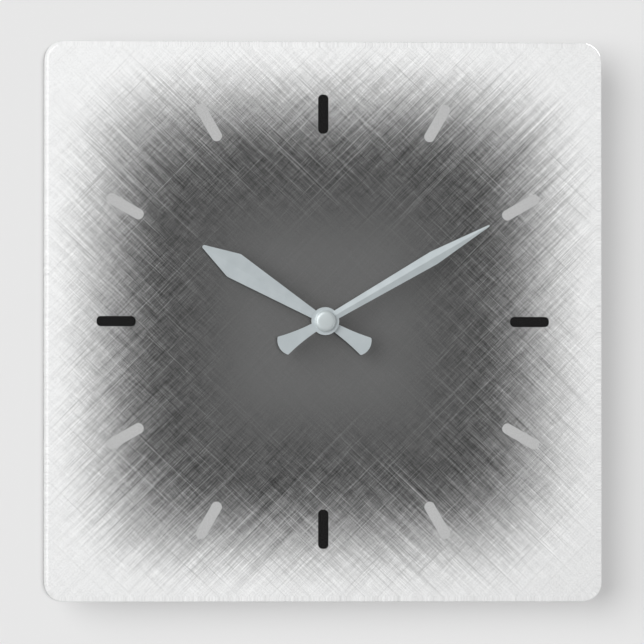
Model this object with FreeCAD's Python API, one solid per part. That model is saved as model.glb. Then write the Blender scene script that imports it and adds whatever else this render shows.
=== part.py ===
import FreeCAD, Part
import math
import os

# Square wall clock: a clear acrylic panel printed on its back, carried by a quartz movement
# whose threaded bushing passes through the panel and whose hanger hooks over a wall screw.
# Millimetres. X is to the right of someone facing the clock, Z is up, and -Y is towards them.
# "Depth" is the distance in front of the wall, so a depth of d lies at Y = -d.
# Pieces are drawn about the hand axis. Export lowers them, so that the origin is the centre
# of the hanger hole, on the wall.

# ---- panel ----
PANEL_WIDTH = 273.0
PANEL_HEIGHT = 273.0
PANEL_THICKNESS = 6.0
PANEL_CORNER = 9.5
PANEL_FRONT_ROUND = 2.5
PANEL_BACK_BEVEL = 0.4
PRINT_THICKNESS = 0.2
PRINT_INSET = 0.6

# ---- AA cell ----
CELL_RADIUS = 7.1
CELL_LENGTH = 50.2
CELL_SLEEVE = 0.1
CELL_SLEEVE_INSET = 0.4
CELL_BUTTON_RADIUS = 2.7
CELL_BUTTON_LENGTH = 1.2

# ---- movement case ----
CASE_WALL = 1.4
CASE_CORNER = 3.0
HAND_AXIS_BELOW_TOP = 28.0
WHEEL_TO_WALL = 0.9
BAY_END_ROOM = 1.5
BAY_SIDE_ROOM = 0.4
BAY_BACK_ROOM = 0.4
BAY_FRONT_ROOM = 0.2
BAY_FLOOR = 1.2
BAY_OUTER_WALL = 1.4
COVER_THICKNESS = 1.2
COVER_LEDGE = 0.6
COVER_GAP = 0.1

# ---- hanger ----
HANGER_HEIGHT = 34.0
HANGER_RADIUS = 9.0
HANGER_THICKNESS = 2.2
HANGER_HOLE_RADIUS = 4.0
HANGER_SLOT_HALF_WIDTH = 2.0
HANGER_SLOT_TOP = 4.6

# ---- set knob ----
KNOB_RADIUS = 6.8
KNOB_THICKNESS = 2.2
KNOB_SUNK = 0.5
KNOB_ROOM = 0.9
KNOB_FLUTES = 24
KNOB_FLUTE_RADIUS = 0.45
KNOB_DISH_SHARE = 0.72
POCKET_DEPTH = 3.0
POCKET_FLOOR = 1.2

# ---- snap latches, posts and bosses ----
LATCH_HALF_WIDTH = 3.0
LATCH_THICKNESS = 0.8
LATCH_HOOK = 0.9
LATCH_HOOK_HEIGHT = 1.2
LATCH_ROOM = 0.2
LATCH_HEIGHTS = (-4.0, 17.0)
POST_RADIUS = 1.2
POST_FOOT_RADIUS = 1.8
PEG_RADIUS = 0.8
PEG_ROOM = 0.1
BRIDGE_RIM = 2.0
BOSS_WALL = 1.0
TRAIN_BOSS_HEIGHT = 1.4
MINUTE_BOSS_HEIGHT = 2.0

# Each post stands beside an arbor, (across, up) from it.
POST_FROM_SECONDS = (-7.3, -5.9)
POST_FROM_INTERMEDIATE = (2.1, -8.5)
POST_FROM_ROTOR = (-7.3, 2.0)
STATOR_POST_FROM_ROTOR = (7.2, 1.6)

# ---- gear train: teeth and modules ----
PINION_LEAVES = 8
CENTRE_TEETH = 64
CENTRE_MODULE = 0.28
INTERMEDIATE_TEETH = 60
INTERMEDIATE_MODULE = 0.22
SECONDS_TEETH = 32
SECONDS_MODULE = 0.36
THIRD_TEETH = 60
THIRD_MODULE = 0.20
CANNON_TEETH = 12
MOTION_TEETH = 36
MOTION_PINION_TEETH = 10
HOUR_TEETH = 40
MOTION_DISTANCE = 11.0
CANNON_MODULE = 2 * MOTION_DISTANCE / (CANNON_TEETH + MOTION_TEETH)
HOUR_MODULE = 2 * MOTION_DISTANCE / (MOTION_PINION_TEETH + HOUR_TEETH)

# Tooth forms in modules: thickness at the pitch circle, height, depth, width of the tip and
# how far each flank bulges out of a straight line.
WHEEL_FORM = {"thick": 1.50, "height": 1.10, "depth": 1.45, "tip": 0.40, "bulge": 0.12}
PINION_FORM = {"thick": 1.05, "height": 0.60, "depth": 1.60, "tip": 0.40, "bulge": 0.10}

# Directions from one arbor to the next, in degrees, 0 along +X and 90 along +Z.
INTERMEDIATE_BEARING = 178.0
SECONDS_BEARING = 195.0
THIRD_BEARING = 100.0
ROTOR_BEARING = 70.0

GEAR_FACE = 1.0
GEAR_GAP = 0.6
ARBOR_RADIUS = 0.6
MOTION_ARBOR_RADIUS = 1.0
RUNNING = 0.05
WHEEL_HOLES = 5
WHEEL_RIM_MODULES = 3.0
WHEEL_WEB = 0.6
WHEEL_HOLE_LARGEST = 1.9

# ---- rotor, stator and coil ----
MAGNET_RADIUS = 2.7
MAGNET_THICKNESS = 2.6
MAGNET_AIR_GAP = 0.6
STATOR_THICKNESS = 1.0
STATOR_LIFT = 0.15
STATOR_NOTCH_RADIUS = 0.45
STATOR_NOTCH_BEARINGS = (75.0, 255.0)
STATOR_HALF_HEIGHT = 4.2
STATOR_ARM = 2.0
STATOR_END_ROOM = 0.6
STATOR_RIGHT = -7.0
COIL_HEIGHT = 22.4
COIL_RADIUS = 3.4
COIL_FLANGE = 3.6
COIL_FLANGE_THICKNESS = 0.8
COIL_BARREL = 2.2
CORE_HEIGHT = 3.0
CORE_THICKNESS = 1.5
COIL_ARM_GAP = 0.4
LEAD_RADIUS = 0.1
LEADS_ABOVE_CORE = (0.6, 1.4)
LEAD_BEHIND_FLANGE = 0.6
LEAD_ON_BOARD = 0.8

# ---- circuit board and contacts ----
BOARD_THICKNESS = 0.8
BOARD_LIFT = 1.6
BOARD_LEFT = 10.5
BOARD_EDGE_ROOM = 0.8
BOARD_TAIL_LEFT = -4.0
BOARD_TAIL_BOTTOM = 20.6
BOARD_ABOVE_FLOOR = 1.2
BOARD_HOLE_INSET = 2.4
CHIP_RADIUS = 3.4
CHIP_HEIGHT = 1.3
CHIP_ROUND = 1.0
CHIP_ABOVE_MIDDLE = 2.0
CRYSTAL_RADIUS = 1.0
CRYSTAL_LENGTH = 6.0
CRYSTAL_ABOVE_EDGE = 5.0
CONTACT_THICKNESS = 0.4
CONTACT_GAP = 0.2
CONTACT_HALF_HEIGHT = 4.5
CONTACT_RUN_LIFT = 0.8
CONTACT_NECK = 2.6
CONTACT_FOOT_TOP = 3.0
POSITIVE_FOOT_LENGTH = 4.6
POSITIVE_FOOT_BOTTOM = 0.4
POSITIVE_BUMP_BASE = 3.2
POSITIVE_BUMP_TIP = 2.0
NEGATIVE_LEAF_HALF_LENGTH = 4.0
NEGATIVE_LEAF_HEIGHT = 5.0
NEGATIVE_FOOT_INSET = 0.6
NEGATIVE_FOOT_WIDTH = 2.0

# ---- bushing, washers and nut ----
BUSHING_RADIUS = 4.0
BUSHING_THREAD_DEPTH = 0.3
BUSHING_PITCH = 0.75
BUSHING_FLANGE_RADIUS = 6.0
BUSHING_FLANGE_THICKNESS = 0.6
PANEL_HOLE_ROOM = 0.15
RUBBER_THICKNESS = 1.0
RUBBER_RADIUS = 10.0
WASHER_THICKNESS = 0.5
WASHER_RADIUS = 6.3
NUT_THICKNESS = 2.0
NUT_ACROSS_FLATS = 10.5
NUT_CHAMFER = 0.6
THREAD_PAST_NUT = 0.5
THREAD_STARTS_AFTER_NUT = 0.1

# ---- hands ----
MINUTE_ARBOR_RADIUS = 1.6
MINUTE_SEAT_RADIUS = 1.25
HOUR_PIPE_BORE_ROOM = 0.06
HOUR_PIPE_RADIUS = 2.5
HOUR_ANGLE = 301.4
MINUTE_ANGLE = 59.8
HAND_SHEET = 0.5
HAND_FOLD_SLOPE = 0.11
HAND_FOLD_RISE = 0.35
HAND_AXIAL_GAP = 0.8
HOUR_HUB_RADIUS = 6.5
MINUTE_HUB_RADIUS = 6.8
HOUR_COLLET_LENGTH = 0.8
HOUR_COLLET_WALL = 0.9
CAP_RADIUS = 5.2
CAP_THICKNESS = 2.0
CAP_ROUND = 0.6
CAP_SOCKET = 1.2
CAP_CLEARS_CREASE = 0.4

# Each hand's outline along its length: half-width where it leaves the hub, the shoulder
# where it is widest, the point that its two sides aim at, and the radius that blunts it.
HOUR_OUTLINE = {
    "root": (5.0, 1.98), "shoulder": (52.0, 6.43), "apex": 72.1, "tip": 0.93, "ease": 3.0,
    "tail_waist": (14.6, 3.12), "tail_corner": (23.6, 4.95), "tail_end": 25.5,
}
MINUTE_OUTLINE = {
    "root": (5.0, 2.16), "shoulder": (61.6, 3.42), "apex": 96.9, "tip": 0.415, "ease": 6.0,
    "tail_waist": (14.6, 3.12), "tail_corner": (23.9, 5.05), "tail_end": 25.9,
}

# How far a shape used for cutting runs past what it cuts.
OVERSHOOT = 2.0

# ---- places worked out from the sizes above ----
CASE_WIDTH = CELL_LENGTH + 2 * (BAY_END_ROOM + CASE_WALL)
CASE_TOP = HAND_AXIS_BELOW_TOP
HALF_CASE = CASE_WIDTH / 2
INNER_X = HALF_CASE - CASE_WALL
INNER_TOP = CASE_TOP - CASE_WALL
HOUR_WHEEL_TIP = HOUR_MODULE * (HOUR_TEETH / 2 + WHEEL_FORM["height"])
INNER_BOTTOM = -HOUR_WHEEL_TIP - WHEEL_TO_WALL
BAY_TOP = INNER_BOTTOM - CASE_WALL
CELL_Z = BAY_TOP - BAY_SIDE_ROOM - CELL_RADIUS
BAY_BOTTOM = CELL_Z - CELL_RADIUS - BAY_SIDE_ROOM
CASE_BOTTOM = BAY_BOTTOM - BAY_OUTER_WALL
CELL_DEPTH = BAY_BACK_ROOM + CELL_RADIUS
BAY_DEPTH = CELL_DEPTH + CELL_RADIUS + BAY_FRONT_ROOM

POCKET_WALL = POCKET_DEPTH + POCKET_FLOOR
FIRST_LEVEL = POCKET_WALL + GEAR_GAP
LEVEL_STEP = GEAR_FACE + GEAR_GAP
CENTRE_LEVEL, INTERMEDIATE_LEVEL, SECONDS_LEVEL, THIRD_LEVEL, MOTION_LEVEL, HOUR_LEVEL = [
    FIRST_LEVEL + n * LEVEL_STEP for n in range(6)
]
TRAIN_FRONT = HOUR_LEVEL + GEAR_FACE + 2 * GEAR_GAP
CASE_DEPTH = max(BAY_DEPTH + BAY_FLOOR, TRAIN_FRONT + COVER_THICKNESS)
COVER_BACK = CASE_DEPTH - COVER_THICKNESS
REAR_PIVOT = CASE_WALL + GEAR_GAP
BRIDGE_BACK = MOTION_LEVEL
BRIDGE_FRONT = BRIDGE_BACK + GEAR_FACE
LATCH_LENGTH = COVER_BACK - BRIDGE_FRONT - 2 * LATCH_ROOM
STATOR_FRONT = FIRST_LEVEL + STATOR_THICKNESS + STATOR_LIFT
STATOR_BACK = STATOR_FRONT - STATOR_THICKNESS
STATOR_LEFT = STATOR_END_ROOM - INNER_X
COIL_DEPTH = STATOR_FRONT + CORE_THICKNESS / 2
COIL_LEFT = STATOR_LEFT + STATOR_ARM + COIL_ARM_GAP
COIL_RIGHT = STATOR_RIGHT - STATOR_ARM - COIL_ARM_GAP
BOARD_BACK = CASE_WALL + BOARD_LIFT
BOARD_FRONT = BOARD_BACK + BOARD_THICKNESS
BOARD_RIGHT = INNER_X - BOARD_EDGE_ROOM
BOARD_TOP = INNER_TOP - BOARD_EDGE_ROOM
BOARD_BOTTOM = INNER_BOTTOM + BOARD_ABOVE_FLOOR
RUN_BACK = CASE_WALL + CONTACT_RUN_LIFT
RUN_FRONT = BOARD_FRONT + CONTACT_THICKNESS
NECK_FRONT = RUN_FRONT + CONTACT_NECK

PRINT_BACK = CASE_DEPTH + RUBBER_THICKNESS
PANEL_BACK = PRINT_BACK + PRINT_THICKNESS
PANEL_FRONT = PANEL_BACK + PANEL_THICKNESS
NUT_BACK = PANEL_FRONT + WASHER_THICKNESS
NUT_FRONT = NUT_BACK + NUT_THICKNESS
BUSHING_FRONT = NUT_FRONT + THREAD_PAST_NUT
HOUR_HAND_DEPTH = BUSHING_FRONT + HAND_AXIAL_GAP
HOUR_PIPE_FRONT = HOUR_HAND_DEPTH + HAND_SHEET + HOUR_COLLET_LENGTH
MINUTE_HAND_DEPTH = HOUR_PIPE_FRONT + HAND_AXIAL_GAP
CAP_BACK = MINUTE_HAND_DEPTH + HAND_SHEET
CAP_FRONT = CAP_BACK + CAP_THICKNESS

FORWARD = FreeCAD.Vector(0, -1, 0)
ORIGIN = (0.0, 0.0)


# ---- helpers ----
def at(x, depth, z):
    return FreeCAD.Vector(x, -depth, z)


def disc(radius, back, front, centre=ORIGIN):
    return Part.makeCylinder(radius, front - back, at(centre[0], back, centre[1]), FORWARD)


def ring(outer, inner, back, front, centre=ORIGIN):
    return disc(outer, back, front, centre).cut(disc(inner, back, front, centre))


def block(x0, x1, back, front, z0, z1):
    return Part.makeBox(x1 - x0, front - back, z1 - z0, at(x0, front, z0))


def fused(shapes):
    first, *rest = shapes
    return first.fuse(rest).removeSplitter() if rest else first


def slab(wire, back, front):
    """The solid between two depths whose outline is a wire drawn at depth 0."""
    face = Part.Face(wire)
    face.translate(at(0, back, 0))
    return face.extrude(FORWARD * (front - back))


def polygon(points):
    corners = [at(x, 0, z) for x, z in points]
    return Part.makePolygon(corners + corners[:1])


def rounded_block(x0, x1, back, front, z0, z1, radius):
    box = block(x0, x1, back, front, z0, z1)
    along = [e for e in box.Edges if abs(e.tangentAt(e.FirstParameter).y) > 0.99]
    return box.makeFillet(radius, along)


def edges_at_depth(shape, depth):
    def lies_there(edge):
        return all(abs(v.Point.y + depth) < 1e-6 for v in edge.Vertexes)

    return [e for e in shape.Edges if lies_there(e)]


def step(start, bearing, distance):
    turn = math.radians(bearing)
    return (start[0] + distance * math.cos(turn), start[1] + distance * math.sin(turn))


def beside(start, offset):
    return (start[0] + offset[0], start[1] + offset[1])


def outward(angle_from_twelve, shape):
    """Turns a shape drawn pointing up to an angle clockwise from twelve."""
    turned = shape.copy()
    turned.rotate(at(0, 0, 0), FreeCAD.Vector(0, 1, 0), angle_from_twelve)
    return turned


# ---- gears ----
def gear_wire(teeth, module, form, centre, phase):
    """A gear outline with one tooth centred on the phase angle, in radians."""
    pitch = teeth * module / 2
    root = pitch - form["depth"] * module
    tip = pitch + form["height"] * module
    half = form["thick"] * module / 2 / pitch
    half_tip = form["tip"] * module / 2 / tip

    def point(radius, angle):
        return at(centre[0] + radius * math.cos(angle), 0, centre[1] + radius * math.sin(angle))

    def flank(start, end, axis):
        """A bulging tooth side. The axis is the tooth's own centre line."""
        middle = (start + end) * 0.5
        from_hub = middle - at(centre[0], 0, centre[1])
        side = from_hub - axis * from_hub.dot(axis)
        side.normalize()
        return Part.Arc(start, middle + side * (form["bulge"] * module), end).toShape()

    edges = []
    for n in range(teeth):
        mid = phase + 2 * math.pi * n / teeth
        following = mid + 2 * math.pi / teeth
        axis = FreeCAD.Vector(math.cos(mid), 0, math.sin(mid))
        foot = point(root, mid - half)
        shoulder = point(pitch, mid - half)
        top = point(tip, mid - half_tip)
        far_top = point(tip, mid + half_tip)
        far_shoulder = point(pitch, mid + half)
        far_foot = point(root, mid + half)
        next_foot = point(root, following - half)
        edges.append(Part.makeLine(foot, shoulder))
        edges.append(flank(shoulder, top, axis))
        edges.append(Part.makeLine(top, far_top))
        edges.append(flank(far_top, far_shoulder, axis))
        edges.append(Part.makeLine(far_shoulder, far_foot))
        edges.append(Part.makeLine(far_foot, next_foot))
    return Part.Wire(edges)


def gear(teeth, module, form, back, front, centre, phase):
    return slab(gear_wire(teeth, module, form, centre, phase), back, front)


def wheel(teeth, module, level, centre, phase, hub):
    """A spoked wheel one face wide, with round windows between its hub and its rim."""
    solid = gear(teeth, module, WHEEL_FORM, level, level + GEAR_FACE, centre, phase)
    rim = teeth * module / 2 - WHEEL_RIM_MODULES * module
    window = min((rim - hub) / 2 - WHEEL_WEB, WHEEL_HOLE_LARGEST)
    windows = [
        disc(window, level, level + GEAR_FACE, step(centre, 360 * n / WHEEL_HOLES, (rim + hub) / 2))
        for n in range(WHEEL_HOLES)
    ]
    return solid.cut(windows)


def pinion(teeth, module, back, front, centre, phase=0.0):
    return gear(teeth, module, PINION_FORM, back, front, centre, phase)


def meshed(centre, phase, teeth, other, other_teeth):
    """The phase at which a gear at other meshes with a gear at centre."""
    bearing = math.atan2(other[1] - centre[1], other[0] - centre[0])
    pitch_angle = 2 * math.pi / teeth
    other_pitch = 2 * math.pi / other_teeth
    share = ((bearing - phase) / pitch_angle) % 1.0
    return bearing + math.pi + other_pitch * (0.5 + share)


def centre_distance(teeth, other_teeth, module):
    return (teeth + other_teeth) * module / 2


INTERMEDIATE_AT = step(
    ORIGIN, INTERMEDIATE_BEARING, centre_distance(CENTRE_TEETH, PINION_LEAVES, CENTRE_MODULE)
)
SECONDS_AT = step(
    INTERMEDIATE_AT, SECONDS_BEARING,
    centre_distance(INTERMEDIATE_TEETH, PINION_LEAVES, INTERMEDIATE_MODULE),
)
THIRD_AT = step(
    SECONDS_AT, THIRD_BEARING, centre_distance(SECONDS_TEETH, PINION_LEAVES, SECONDS_MODULE)
)
ROTOR_AT = step(
    THIRD_AT, ROTOR_BEARING, centre_distance(THIRD_TEETH, PINION_LEAVES, THIRD_MODULE)
)
MOTION_AT = (0.0, MOTION_DISTANCE)

ROTOR_SIDE_POST = beside(ROTOR_AT, POST_FROM_ROTOR)
BRIDGE_POSTS = [
    beside(SECONDS_AT, POST_FROM_SECONDS),
    beside(INTERMEDIATE_AT, POST_FROM_INTERMEDIATE),
    ROTOR_SIDE_POST,
]
STATOR_POST = beside(ROTOR_AT, STATOR_POST_FROM_ROTOR)


def train_wheel(teeth, module, level, at_point, driver_at, pinion_module, pinion_level):
    """A going-train wheel and pinion on one arbor. Each pinion's first leaf points along +X."""
    phase = meshed(driver_at, 0.0, PINION_LEAVES, at_point, teeth)
    hub = PINION_LEAVES * pinion_module / 2
    pieces = [
        wheel(teeth, module, level, at_point, phase, hub),
        pinion(PINION_LEAVES, pinion_module, pinion_level, level + GEAR_FACE / 2, at_point),
        disc(ARBOR_RADIUS, REAR_PIVOT, BRIDGE_FRONT, at_point),
    ]
    return fused(pieces)


def third_wheel():
    return train_wheel(
        THIRD_TEETH, THIRD_MODULE, THIRD_LEVEL, THIRD_AT, ROTOR_AT, SECONDS_MODULE, SECONDS_LEVEL
    )


def seconds_wheel():
    return train_wheel(
        SECONDS_TEETH, SECONDS_MODULE, SECONDS_LEVEL, SECONDS_AT, THIRD_AT,
        INTERMEDIATE_MODULE, INTERMEDIATE_LEVEL,
    )


def intermediate_wheel():
    return train_wheel(
        INTERMEDIATE_TEETH, INTERMEDIATE_MODULE, INTERMEDIATE_LEVEL, INTERMEDIATE_AT, SECONDS_AT,
        CENTRE_MODULE, CENTRE_LEVEL,
    )


def centre_wheel():
    """The wheel that grips the minute arbor through a slipping fit."""
    phase = meshed(INTERMEDIATE_AT, 0.0, PINION_LEAVES, ORIGIN, CENTRE_TEETH)
    bore = MINUTE_ARBOR_RADIUS + RUNNING
    hub = bore + BOSS_WALL
    solid = wheel(CENTRE_TEETH, CENTRE_MODULE, CENTRE_LEVEL, ORIGIN, phase, hub)
    collar = disc(hub, CENTRE_LEVEL, CENTRE_LEVEL + GEAR_FACE + GEAR_GAP)
    return fused([solid, collar]).cut(disc(bore, CENTRE_LEVEL, CENTRE_LEVEL + 2 * LEVEL_STEP))


def rotor_pinion():
    """The plastic arbor that carries the magnet, with its driving pinion."""
    leaves = pinion(
        PINION_LEAVES, THIRD_MODULE, THIRD_LEVEL - GEAR_GAP / 2, THIRD_LEVEL + GEAR_FACE, ROTOR_AT
    )
    return fused([leaves, disc(ARBOR_RADIUS, REAR_PIVOT, BRIDGE_FRONT, ROTOR_AT)])


def magnet_depths():
    middle = STATOR_BACK + STATOR_THICKNESS / 2
    return middle - MAGNET_THICKNESS / 2, middle + MAGNET_THICKNESS / 2


def rotor_magnet():
    back, front = magnet_depths()
    return ring(MAGNET_RADIUS, ARBOR_RADIUS, back, front, ROTOR_AT)


def minute_arbor():
    """The shaft that carries the minute hand, moulded in one with the cannon pinion."""
    return fused([
        disc(MINUTE_ARBOR_RADIUS, REAR_PIVOT, MINUTE_HAND_DEPTH),
        disc(MINUTE_SEAT_RADIUS, MINUTE_HAND_DEPTH, CAP_BACK + CAP_SOCKET),
        pinion(CANNON_TEETH, CANNON_MODULE, MOTION_LEVEL, MOTION_LEVEL + GEAR_FACE, ORIGIN),
    ])


def motion_wheel():
    """The motion wheel and its pinion. Its arbor runs back to the set knob."""
    phase = meshed(ORIGIN, 0.0, CANNON_TEETH, MOTION_AT, MOTION_TEETH)
    wheel_front = MOTION_LEVEL + GEAR_FACE
    front_pivot = COVER_BACK + COVER_THICKNESS / 2
    hub = MOTION_PINION_TEETH * HOUR_MODULE / 2
    return fused([
        wheel(MOTION_TEETH, CANNON_MODULE, MOTION_LEVEL, MOTION_AT, phase, hub),
        pinion(
            MOTION_PINION_TEETH, HOUR_MODULE, wheel_front, HOUR_LEVEL + GEAR_FACE, MOTION_AT
        ),
        disc(MOTION_ARBOR_RADIUS, KNOB_SUNK + KNOB_THICKNESS / 3, front_pivot, MOTION_AT),
    ])


def hour_wheel():
    """The hour wheel and the pipe that carries the hour hand."""
    phase = meshed(MOTION_AT, 0.0, MOTION_PINION_TEETH, ORIGIN, HOUR_TEETH)
    solid = fused([
        wheel(HOUR_TEETH, HOUR_MODULE, HOUR_LEVEL, ORIGIN, phase, HOUR_PIPE_RADIUS),
        disc(HOUR_PIPE_RADIUS, HOUR_LEVEL, HOUR_PIPE_FRONT),
    ])
    bore = MINUTE_ARBOR_RADIUS + HOUR_PIPE_BORE_ROOM
    return solid.cut(disc(bore, HOUR_LEVEL, HOUR_PIPE_FRONT))


# ---- case ----
def boss(centre, bore_radius, top):
    """A blind bearing boss on the case's rear wall."""
    outer = disc(bore_radius + BOSS_WALL, CASE_WALL / 2, top, centre)
    return outer, disc(bore_radius, REAR_PIVOT - RUNNING, top, centre)


def hanger():
    tab = fused([
        disc(HANGER_RADIUS, 0, HANGER_THICKNESS, (0, HANGER_HEIGHT)),
        block(
            -HANGER_RADIUS, HANGER_RADIUS, 0, HANGER_THICKNESS, CASE_TOP - CASE_WALL, HANGER_HEIGHT
        ),
    ])
    slot_top = HANGER_HEIGHT + HANGER_SLOT_TOP
    half = HANGER_SLOT_HALF_WIDTH
    return tab.cut([
        disc(HANGER_HOLE_RADIUS, 0, HANGER_THICKNESS, (0, HANGER_HEIGHT)),
        block(-half, half, 0, HANGER_THICKNESS, HANGER_HEIGHT, slot_top),
        disc(half, 0, HANGER_THICKNESS, (0, slot_top)),
    ])


def contact_slots():
    """The openings in the wall above the battery bay that the two contacts pass through."""
    side = INNER_X - CONTACT_THICKNESS - CONTACT_GAP
    below, above = BAY_TOP - CASE_WALL, INNER_BOTTOM + CASE_WALL
    board_front = CASE_WALL + BOARD_LIFT + BOARD_THICKNESS
    return [
        block(-INNER_X, -side, RUN_BACK - CONTACT_GAP, RUN_FRONT + CONTACT_GAP, below, above),
        block(side, INNER_X, board_front - CONTACT_GAP, NECK_FRONT + CONTACT_GAP, below, above),
    ]


def latch_windows():
    tip = COVER_BACK - LATCH_LENGTH
    windows = []
    for z in LATCH_HEIGHTS:
        for x0, x1 in ((-HALF_CASE, -INNER_X), (INNER_X, HALF_CASE)):
            windows.append(block(
                x0, x1, tip - LATCH_ROOM, tip + LATCH_HOOK_HEIGHT + 2 * LATCH_ROOM,
                z - LATCH_HALF_WIDTH - LATCH_ROOM, z + LATCH_HALF_WIDTH + LATCH_ROOM,
            ))
    return windows


def posts():
    """Posts on the case's rear wall for the bridge, the stator and the circuit board."""
    made = []
    for centre in BRIDGE_POSTS:
        made.append(disc(POST_RADIUS, CASE_WALL / 2, BRIDGE_BACK, centre))
        made.append(disc(PEG_RADIUS, CASE_WALL / 2, BRIDGE_FRONT + GEAR_GAP / 2, centre))
    for centre in (ROTOR_SIDE_POST, STATOR_POST):
        made.append(disc(POST_FOOT_RADIUS, CASE_WALL / 2, STATOR_BACK, centre))
    made.append(disc(PEG_RADIUS, CASE_WALL / 2, STATOR_FRONT + GEAR_GAP, STATOR_POST))
    board_back = CASE_WALL + BOARD_LIFT
    for centre in board_holes():
        made.append(disc(POST_FOOT_RADIUS, CASE_WALL / 2, board_back, centre))
        made.append(disc(PEG_RADIUS, CASE_WALL / 2, board_back + 2 * BOARD_THICKNESS, centre))
    return made


def case_body():
    """The rear housing: battery bay open to the back, gear room open to the front, hanger."""
    shell = rounded_block(
        -HALF_CASE, HALF_CASE, 0, CASE_DEPTH, CASE_BOTTOM, CASE_TOP, CASE_CORNER
    )
    rabbet = COVER_LEDGE + COVER_GAP
    shell = shell.cut([
        block(-INNER_X, INNER_X, 0, BAY_DEPTH, BAY_BOTTOM, BAY_TOP),
        block(-INNER_X, INNER_X, CASE_WALL, CASE_DEPTH, INNER_BOTTOM, INNER_TOP),
        block(
            -INNER_X - rabbet, INNER_X + rabbet, COVER_BACK, CASE_DEPTH,
            INNER_BOTTOM - rabbet, INNER_TOP + rabbet,
        ),
    ])
    pocket_radius = KNOB_RADIUS + KNOB_ROOM
    bosses, bores = [], []
    for centre in (INTERMEDIATE_AT, SECONDS_AT, THIRD_AT, ROTOR_AT):
        outer, bore = boss(centre, ARBOR_RADIUS + RUNNING, REAR_PIVOT + TRAIN_BOSS_HEIGHT)
        bosses.append(outer)
        bores.append(bore)
    outer, bore = boss(ORIGIN, MINUTE_ARBOR_RADIUS + RUNNING, REAR_PIVOT + MINUTE_BOSS_HEIGHT)
    bosses.append(outer)
    bores.append(bore)
    pocket_wall = disc(pocket_radius + CASE_WALL, 0, POCKET_WALL, MOTION_AT)
    solid = fused([shell, hanger(), pocket_wall] + bosses + posts())
    stem = disc(MOTION_ARBOR_RADIUS + RUNNING, 0, POCKET_WALL, MOTION_AT)
    pocket = disc(pocket_radius, 0, POCKET_DEPTH, MOTION_AT)
    return solid.cut([pocket, stem] + bores + latch_windows() + contact_slots())


def front_cover():
    """The cover that closes the gear room and carries the bushing."""
    plate = block(
        -INNER_X - COVER_LEDGE, INNER_X + COVER_LEDGE, COVER_BACK, CASE_DEPTH,
        INNER_BOTTOM - COVER_LEDGE, INNER_TOP + COVER_LEDGE,
    )
    pieces = [plate]
    tip = COVER_BACK - LATCH_LENGTH
    for z in LATCH_HEIGHTS:
        low, high = z - LATCH_HALF_WIDTH, z + LATCH_HALF_WIDTH
        for side in (-1, 1):
            outer = side * (INNER_X - LATCH_ROOM)
            inner = outer - side * LATCH_THICKNESS
            hook = outer + side * LATCH_HOOK
            pieces.append(block(*sorted((inner, outer)), tip, COVER_BACK, low, high))
            pieces.append(block(
                *sorted((outer, hook)), tip + LATCH_ROOM, tip + LATCH_HOOK_HEIGHT, low, high
            ))
    pivot = disc(
        MOTION_ARBOR_RADIUS + RUNNING, COVER_BACK, COVER_BACK + COVER_THICKNESS / 2 + RUNNING,
        MOTION_AT,
    )
    return fused(pieces).cut([disc(BUSHING_RADIUS, COVER_BACK, CASE_DEPTH), pivot])


def train_bridge():
    """The plate that holds the front pivots of the going train."""
    corners = BRIDGE_POSTS + [ROTOR_AT, INTERMEDIATE_AT]
    middle_x = sum(x for x, z in corners) / len(corners)
    middle_z = sum(z for x, z in corners) / len(corners)
    corners.sort(key=lambda p: math.atan2(p[1] - middle_z, p[0] - middle_x))
    pieces = [slab(polygon(corners), BRIDGE_BACK, BRIDGE_FRONT)]
    for n, (x, z) in enumerate(corners):
        pieces.append(disc(BRIDGE_RIM, BRIDGE_BACK, BRIDGE_FRONT, (x, z)))
        next_x, next_z = corners[(n + 1) % len(corners)]
        length = math.hypot(next_x - x, next_z - z)
        across = BRIDGE_RIM * (z - next_z) / length
        up = BRIDGE_RIM * (next_x - x) / length
        strip = [
            (x + across, z + up), (next_x + across, next_z + up),
            (next_x - across, next_z - up), (x - across, z - up),
        ]
        pieces.append(slab(polygon(strip), BRIDGE_BACK, BRIDGE_FRONT))
    pivots = [
        disc(ARBOR_RADIUS + RUNNING, BRIDGE_BACK, BRIDGE_FRONT, p)
        for p in (ROTOR_AT, THIRD_AT, SECONDS_AT, INTERMEDIATE_AT)
    ]
    pegs = [disc(PEG_RADIUS + PEG_ROOM, BRIDGE_BACK, BRIDGE_FRONT, p) for p in BRIDGE_POSTS]
    return fused(pieces).cut(pivots + pegs)


def set_knob():
    back, front = KNOB_SUNK, KNOB_SUNK + KNOB_THICKNESS
    body = disc(KNOB_RADIUS, back, front, MOTION_AT)
    flutes = [
        disc(KNOB_FLUTE_RADIUS, back, front, step(MOTION_AT, 360 * n / KNOB_FLUTES, KNOB_RADIUS))
        for n in range(KNOB_FLUTES)
    ]
    dish = disc(KNOB_RADIUS * KNOB_DISH_SHARE, back, back + KNOB_THICKNESS / 6, MOTION_AT)
    socket = disc(MOTION_ARBOR_RADIUS, KNOB_SUNK + KNOB_THICKNESS / 3, front, MOTION_AT)
    return body.cut(flutes + [dish, socket])


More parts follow.
